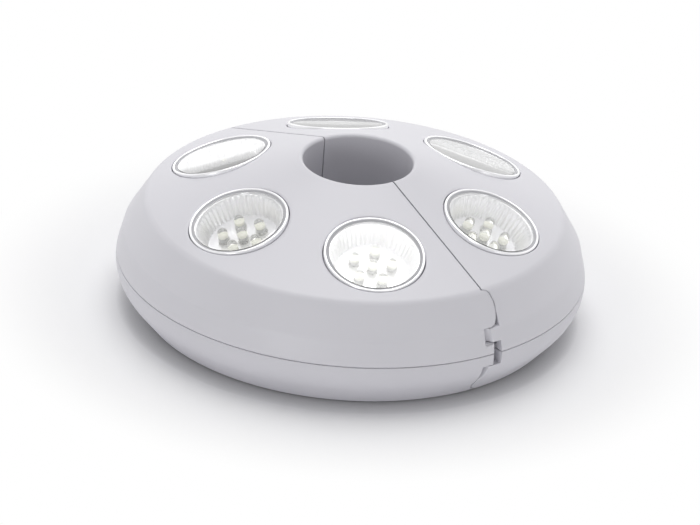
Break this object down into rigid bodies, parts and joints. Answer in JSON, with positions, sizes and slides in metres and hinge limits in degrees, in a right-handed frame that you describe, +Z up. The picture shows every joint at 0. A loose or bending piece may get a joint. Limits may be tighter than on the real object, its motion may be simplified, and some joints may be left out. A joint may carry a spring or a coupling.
{
  "type": "patio umbrella light",
  "caption": "Round umbrella light in two hinged half discs that clamp round a pole, with tilted LED lamps in chromed reflectors under clear lenses.",
  "frame": {"origin": "middle of the flat base, on the plane it rests on", "axes": "+Z up along the pole's axis, lamps facing up; +Y to the mouth that opens; +X to the half that swings; the hinge pin stands at -Y"},
  "size_m": [0.2308, 0.2308, 0.0817],
  "materials": {
    "cover_plastic": "moulded ABS, satin silver grey",
    "base_plastic": "moulded ABS, satin silver grey",
    "reflector_metallised": "vacuum metallised, mirror bright",
    "lens_clear": "clear moulded acrylic, polished",
    "led_epoxy": "clear epoxy over pale yellow phosphor",
    "circuit_board": "white solder mask",
    "screw_steel": "zinc plated",
    "spring_steel": "drawn spring wire",
    "grip_rubber": "moulded rubber, matt",
    "cell_jacket": "plain printed film",
    "contact_nickel": "nickel plated strip",
    "button_rubber": "moulded silicone, matt",
    "switch_plastic": "moulded"
  },
  "bodies": {
    "half_a": {"lamp_cover_a": "cover_plastic", "base_shell_a": "base_plastic", "reflector_1": "reflector_metallised", "reflector_2": "reflector_metallised", "reflector_3": "reflector_metallised", "lens_1": "lens_clear", "lens_2": "lens_clear", "lens_3": "lens_clear", "led_cluster_1": "led_epoxy", "led_cluster_2": "led_epoxy", "led_cluster_3": "led_epoxy", "led_board_1": "circuit_board", "led_board_2": "circuit_board", "led_board_3": "circuit_board", "shell_screws_a": "screw_steel", "grip_pad_a": "grip_rubber", "battery_cells_a": "cell_jacket", "battery_contacts_a": "contact_nickel", "hinge_pin": "screw_steel", "hinge_spring": "spring_steel"},
    "half_b": {"lamp_cover_b": "cover_plastic", "base_shell_b": "base_plastic", "reflector_4": "reflector_metallised", "reflector_5": "reflector_metallised", "reflector_6": "reflector_metallised", "lens_4": "lens_clear", "lens_5": "lens_clear", "lens_6": "lens_clear", "led_cluster_4": "led_epoxy", "led_cluster_5": "led_epoxy", "led_cluster_6": "led_epoxy", "led_board_4": "circuit_board", "led_board_5": "circuit_board", "led_board_6": "circuit_board", "shell_screws_b": "screw_steel", "grip_pad_b": "grip_rubber", "battery_cells_b": "cell_jacket", "battery_contacts_b": "contact_nickel", "switch_board": "circuit_board", "push_switch": "switch_plastic"},
    "button": {"power_button": "button_rubber"},
    "door_a": {"battery_door_a": "base_plastic"},
    "door_b": {"battery_door_b": "base_plastic"}
  },
  "joints": [
    {"name": "halves_hinge", "type": "hinge", "parent": "half_a", "child": "half_b", "pos_m": [0, -0.107, 0.027], "axis": [0, 0, -1], "range_deg": [0, 25], "stiffness_Nm_per_rad": 0.35, "springref_deg": -20.05, "deforming": ["hinge_spring"]},
    {"name": "button_press", "type": "slide", "parent": "half_b", "child": "button", "axis": [-1, 0, 0], "range_m": [0, 0.001], "stiffness_N_per_m": 600, "springref_m": -0.0005},
    {"name": "door_a_lift", "type": "slide", "parent": "half_a", "child": "door_a", "axis": [0, 0, -1], "range_m": [0, 0.02]},
    {"name": "door_b_lift", "type": "slide", "parent": "half_b", "child": "door_b", "axis": [0, 0, -1], "range_m": [0, 0.02]}
  ]
}
